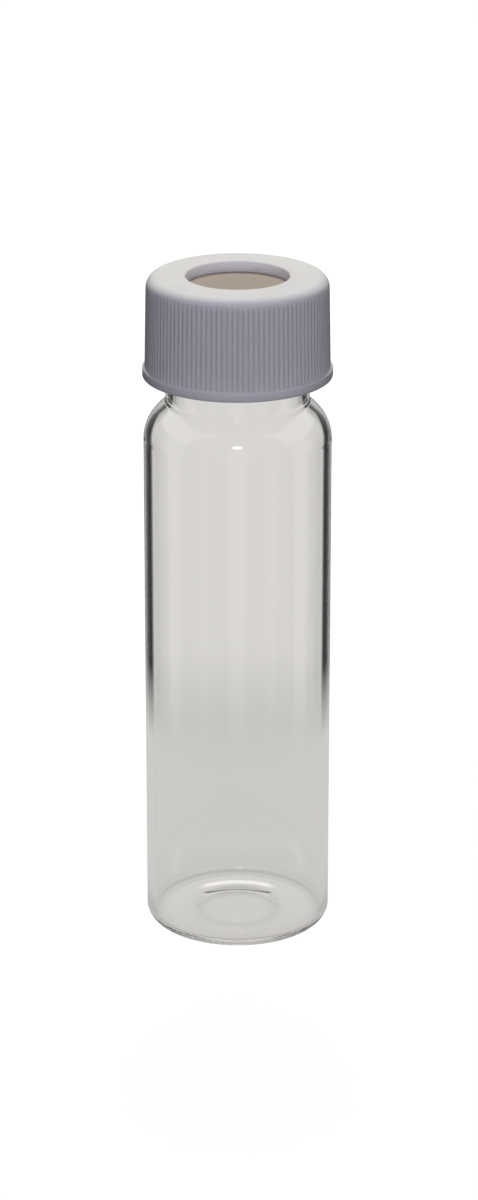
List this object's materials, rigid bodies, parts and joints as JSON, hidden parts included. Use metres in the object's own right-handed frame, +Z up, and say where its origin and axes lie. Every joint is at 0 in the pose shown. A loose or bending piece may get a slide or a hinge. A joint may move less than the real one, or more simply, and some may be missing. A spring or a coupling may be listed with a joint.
{
  "type": "glass sample vial",
  "caption": "Clear glass sample vial with a screw neck, closed by a ribbed open-top cap that clamps a rubber septum over the mouth.",
  "frame": {"origin": "on the vial's axis, in the plane of the ring that it stands on", "axes": "+Z up along the vial's axis, towards the cap; X and Y are any two directions across it, as the glass is round"},
  "size_m": [0.0274, 0.0274, 0.0998],
  "materials": {
    "glass": "gloss",
    "septum": "matte",
    "cap": "satin"
  },
  "bodies": {
    "vial": {"vial": "glass"},
    "septum": {"septum": "septum"},
    "cap": {"cap": "cap"}
  },
  "joints": [
    {"name": "cap_lift", "type": "slide", "parent": "vial", "child": "septum", "axis": [0, 0, 1], "range_m": [0, 0.0112]},
    {"name": "cap_turn", "type": "hinge", "parent": "septum", "child": "cap", "pos_m": [0, 0, 0.0925], "axis": [0, 0, 1], "range_deg": [0, 1260]}
  ],
  "couplings": [
    {"joint": "cap_lift", "follows": "cap_turn", "m_per_rad": 0.00050532}
  ]
}
